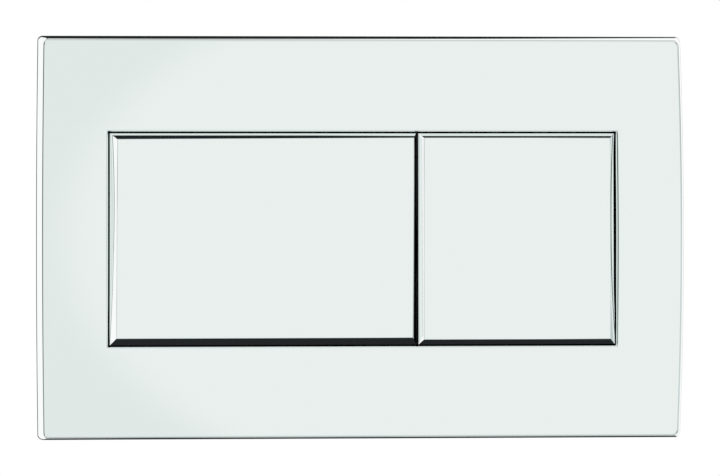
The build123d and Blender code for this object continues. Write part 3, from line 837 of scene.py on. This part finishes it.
class FLUSHPLATE_OT_springs(Operator):
    """Wind the two return springs from round wire."""

    bl_idname = "flush_plate.springs"
    bl_label = "Wind return springs"

    def execute(self, context):
        spring = context.scene.flush_plate.spring
        steel = bpy.data.materials["stainless_steel_drawn"]
        for button in BUTTONS:
            low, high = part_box(f"{button}_return_spring")
            ground = spring.wire / 4
            closed_pitch = spring.wire * 1.04
            closed = spring.closed_turns * closed_pitch
            rise = high[1] - low[1] - 2 * ground
            bm = bmesh.new()
            bmesh.ops.create_circle(bm, cap_ends=False, segments=12, radius=spring.wire / 2)
            start = Vector((spring.mean_radius, low[1] + ground, 0))
            bmesh.ops.translate(bm, vec=start, verts=bm.verts[:])
            stages = [
                (spring.closed_turns, closed),
                (spring.active_turns, rise - 2 * closed),
                (spring.closed_turns, closed),
            ]
            wind(bm, stages, steps=28)
            for y, side in ((low[1], -1), (high[1], 1)):
                cut(bm, (0, y, 0), (0, side, 0), clear_outer=True)
                close_ends(bm)
            middle = move_into_box(bm, low, high)
            node = f"{button}_return_spring"
            piece = finish_mesh(bm, f"{button}_spring_coil", steel, "housing", [node])
            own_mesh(piece)
        return {"FINISHED"}


class FLUSHPLATE_OT_rods(Operator):
    """Make the push rods with their threaded tails, and finish the caps, locknuts and bushes."""

    bl_idname = "flush_plate.rods"
    bl_label = "Make push rods"

    def execute(self, context):
        settings = context.scene.flush_plate
        thread = settings.thread
        acetal = turned_acetal("white_acetal_turned", list(settings.finish.white_acetal))
        dress([f"{button}_rod_{part}" for button in BUTTONS for part in ("cap", "locknut", "bush")], acetal)
        for button in BUTTONS:
            low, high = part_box(f"{button}_push_rod")
            bush_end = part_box(f"{button}_rod_bush")[1][1]
            shank = (high[0] - low[0]) / 2
            crest = 2.5 * MM
            root = crest - thread.rod_depth
            shoulder_gap = 1.5 * MM
            tail_y = bush_end + shoulder_gap
            front_edge, shoulder_edge = 0.2 * MM, 0.3 * MM
            run_out = 0.4 * MM
            tip = 0.8 * MM
            bm = bmesh.new()
            lathe(bm, [
                (0, low[1]),
                (shank - front_edge, low[1]),
                (shank, low[1] + front_edge),
                (shank, tail_y - shoulder_edge),
                (shank - shoulder_edge, tail_y),
                (root, tail_y),
                (root, high[1] - tip / 2),
                (root - tip / 2, high[1]),
                (0, high[1]),
            ], steps=40)
            add_thread(bm, root, crest, thread.rod_pitch, tail_y + run_out, high[1] - tip, thread.steps)
            move_into_box(bm, low, high)
            node = f"{button}_push_rod"
            finish_mesh(bm, f"{button}_threaded_rod", acetal, f"{button}_rod", [node])
        return {"FINISHED"}


class FLUSHPLATE_OT_studs(Operator):
    """Make the threaded fixing studs and finish their washers."""

    bl_idname = "flush_plate.studs"
    bl_label = "Make fixing studs"

    def execute(self, context):
        settings = context.scene.flush_plate
        thread = settings.thread
        zinc = zinc_plated_steel("zinc_plated_steel_passivated", list(settings.finish.zinc))
        dress([f"fixing_washer_{side}" for side in SIDES], zinc)
        for side in SIDES:
            low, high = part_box(f"fixing_stud_{side}")
            bar_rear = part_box("mounting_frame")[1][1]
            collar = (high[0] - low[0]) / 2
            neck = 3.0 * MM
            crest = 4.0 * MM
            collar_depth = 3.0 * MM
            collar_end = bar_rear + collar_depth
            root = crest - thread.stud_depth
            soft = 0.4 * MM
            tip = 0.8 * MM
            bm = bmesh.new()
            lathe(bm, [
                (0, low[1]),
                (neck - soft, low[1]),
                (neck, low[1] + soft),
                (neck, bar_rear),
                (collar - soft / 2, bar_rear),
                (collar, bar_rear + soft / 2),
                (collar, collar_end - soft),
                (collar - soft, collar_end),
                (root, collar_end),
                (root, high[1] - tip),
                (root - tip, high[1]),
                (0, high[1]),
            ], steps=48)
            add_thread(bm, root, crest, thread.stud_pitch, collar_end + soft, high[1] - tip, thread.steps)
            move_into_box(bm, low, high)
            node = f"fixing_stud_{side}"
            finish_mesh(bm, f"threaded_stud_{side}", zinc, "housing", [node])
        return {"FINISHED"}


class FLUSHPLATE_OT_bumpers(Operator):
    """Make the rubber bumpers with their rounded heads and bulbs."""

    bl_idname = "flush_plate.bumpers"
    bl_label = "Make bumpers"

    def execute(self, context):
        rubber = moulded_rubber("black_rubber_moulded", list(context.scene.flush_plate.finish.rubber))
        bulb = 1.2 * MM
        tab = 2.0 * MM
        stem = 1.5 * MM
        bulb_radius = 2.2 * MM
        soft = 0.3 * MM
        for node in [f"{button}_bumper_{side}" for button in BUTTONS for side in SIDES]:
            low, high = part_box(node)
            radius = (high[0] - low[0]) / 2
            tab_rear = high[1] - bulb
            tab_front = tab_rear - tab
            bm = bmesh.new()
            lathe(bm, [
                (0, low[1]),
                (radius - 3 * soft, low[1]),
                (radius - 1.2 * soft, low[1] + 0.3 * soft),
                (radius - 0.3 * soft, low[1] + 1.2 * soft),
                (radius, low[1] + 3 * soft),
                (radius, tab_front - soft),
                (radius - soft, tab_front),
                (stem, tab_front),
                (stem, tab_rear),
                (bulb_radius - soft, tab_rear),
                (bulb_radius, tab_rear + soft),
                (bulb_radius - soft, high[1] - soft),
                (stem, high[1]),
                (0, high[1]),
            ], steps=32)
            move_into_box(bm, low, high)
            body = f"{node.split('_')[0]}_button"
            finish_mesh(bm, f"rounded_{node}", rubber, body, [node])
        return {"FINISHED"}


class FLUSHPLATE_OT_stage(Operator):
    """Set up the floor, the tent of light, the lamps and the camera."""

    bl_idname = "flush_plate.stage"
    bl_label = "Set the stage"

    def execute(self, context):
        scene = context.scene
        stage = scene.flush_plate.stage
        self.lay_floor(scene, stage)
        self.light_tent(scene, stage)
        self.hang_lamps(scene)
        self.place_camera(scene, stage)
        scene.view_settings.view_transform = "Standard"
        return {"FINISHED"}

    def lay_floor(self, scene, stage):
        """Round pale floor below the plate."""
        bm = bmesh.new()
        bmesh.ops.create_circle(bm, cap_ends=True, segments=96, radius=stage.floor_radius)
        bmesh.ops.translate(bm, vec=(0, 0, -stage.floor_drop), verts=bm.verts[:])
        mesh = bpy.data.meshes.new("floor")
        bm.to_mesh(mesh)
        bm.free()
        material, tree, place, shader = new_material("floor_paper")
        fibre = add_node(tree, "ShaderNodeTexNoise", {"Vector": place, "Scale": 1 / (2 * MM), "Detail": 3.0})
        rough = add_node(tree, "ShaderNodeMapRange", {
            "Value": fibre.outputs[0], "To Min": 0.8, "To Max": 0.95,
        })
        tree.links.new(rough.outputs[0], shader.inputs["Roughness"])
        shader.inputs["Base Color"].default_value = stage.floor
        mesh.materials.append(material)
        floor = bpy.data.objects.new("floor", mesh)
        floor.visible_glossy = False
        scene.collection.objects.link(floor)

    def light_tent(self, scene, stage):
        """White tent around the plate, with patches of other brightness laid over it in order."""
        world = bpy.data.worlds.new("tent")
        scene.world = world
        world.use_nodes = True
        tree = world.node_tree
        tree.nodes.clear()
        way = add_node(tree, "ShaderNodeTexCoord").outputs["Generated"]
        shade = stage.tent
        for patch in TENT_PATCHES:
            toward = Vector(patch["toward"]).normalized()
            spread = (patch.get("spread", 1.0), 1.0, 1.0)
            drawn = add_node(tree, "ShaderNodeVectorMath", {0: way, 1: spread}, operation="MULTIPLY")
            unit = add_node(tree, "ShaderNodeVectorMath", {0: drawn.outputs[0]}, operation="NORMALIZE")
            pair = {0: unit.outputs[0], 1: toward}
            nearness = add_node(tree, "ShaderNodeVectorMath", pair, operation="DOT_PRODUCT")
            edge = add_node(tree, "ShaderNodeMapRange", {
                "Value": nearness.outputs["Value"],
                "From Min": math.cos(math.radians(patch["outer"])),
                "From Max": math.cos(math.radians(patch["inner"])),
            }, interpolation_type="SMOOTHSTEP")
            shade = add_node(tree, "ShaderNodeMix", {
                "Factor": edge.outputs[0], "A": shade, "B": linear(patch["shade"]),
            }, data_type="RGBA", label=patch["name"]).outputs["Result"]
        seen = add_node(tree, "ShaderNodeLightPath").outputs["Is Camera Ray"]
        shade = add_node(tree, "ShaderNodeMix", {
            "Factor": seen, "A": shade, "B": linear("#FFFFFF"),
        }, data_type="RGBA", label="seen by the camera").outputs["Result"]
        light = add_node(tree, "ShaderNodeBackground", {"Color": shade})
        add_node(tree, "ShaderNodeOutputWorld", {"Surface": light.outputs[0]})

    def hang_lamps(self, scene):
        """Lamps that point at the plate and don't show in mirrors."""
        for lamp in LAMPS:
            light = bpy.data.lights.new(lamp["name"], "AREA")
            light.size = lamp["size"]
            light.energy = lamp["power"]
            holder = bpy.data.objects.new(lamp["name"], light)
            holder.location = lamp["place"]
            holder.rotation_euler = (-Vector(lamp["place"])).to_track_quat("-Z", "Y").to_euler()
            holder.visible_glossy = False
            holder.visible_camera = False
            scene.collection.objects.link(holder)

    def place_camera(self, scene, stage):
        """Camera in front of the plate, level, a little to the left and above its middle."""
        lens = bpy.data.cameras.new("camera")
        lens.lens = stage.camera_lens
        lens.sensor_width = 36.0
        lens.shift_x = stage.shift_x
        lens.shift_y = stage.shift_y
        lens.clip_start = 0.01
        camera = bpy.data.objects.new("camera", lens)
        camera.location = stage.camera_place
        camera.rotation_euler = (math.pi / 2, 0, -stage.camera_yaw)
        scene.collection.objects.link(camera)
        scene.camera = camera


OPERATORS = (
    FLUSHPLATE_OT_chrome,
    FLUSHPLATE_OT_plating,
    FLUSHPLATE_OT_faces,
    FLUSHPLATE_OT_frame,
    FLUSHPLATE_OT_steel,
    FLUSHPLATE_OT_springs,
    FLUSHPLATE_OT_rods,
    FLUSHPLATE_OT_studs,
    FLUSHPLATE_OT_bumpers,
    FLUSHPLATE_OT_stage,
)


class FLUSHPLATE_PT_sidebar(Panel):
    """Lists the steps that make the flush plate."""

    bl_idname = "FLUSHPLATE_PT_sidebar"
    bl_label = "Flush plate"
    bl_space_type = "VIEW_3D"
    bl_region_type = "UI"
    bl_category = "Flush plate"

    def draw(self, context):
        for operator in OPERATORS:
            self.layout.operator(operator.bl_idname)


SETTINGS = (
    FinishSettings, CoverSettings, RimSettings, FullFaceSettings, HalfFaceSettings,
    SpringSettings, ThreadSettings, StageSettings, FlushPlateSettings,
)
CLASSES = SETTINGS + OPERATORS + (FLUSHPLATE_PT_sidebar,)


def register():
    """Register the classes and the scene's settings."""
    for kind in CLASSES:
        bpy.utils.register_class(kind)
    bpy.types.Scene.flush_plate = PointerProperty(type=FlushPlateSettings)


def unregister():
    """Remove the settings and the classes."""
    del bpy.types.Scene.flush_plate
    for kind in reversed(CLASSES):
        bpy.utils.unregister_class(kind)


def main():
    """Make every piece and the stage."""
    register()
    bpy.ops.flush_plate.chrome()
    bpy.ops.flush_plate.plating()
    bpy.ops.flush_plate.faces()
    bpy.ops.flush_plate.frame()
    bpy.ops.flush_plate.steel()
    bpy.ops.flush_plate.springs()
    bpy.ops.flush_plate.rods()
    bpy.ops.flush_plate.studs()
    bpy.ops.flush_plate.bumpers()
    bpy.ops.flush_plate.stage()


if __name__ == "__main__":
    main()
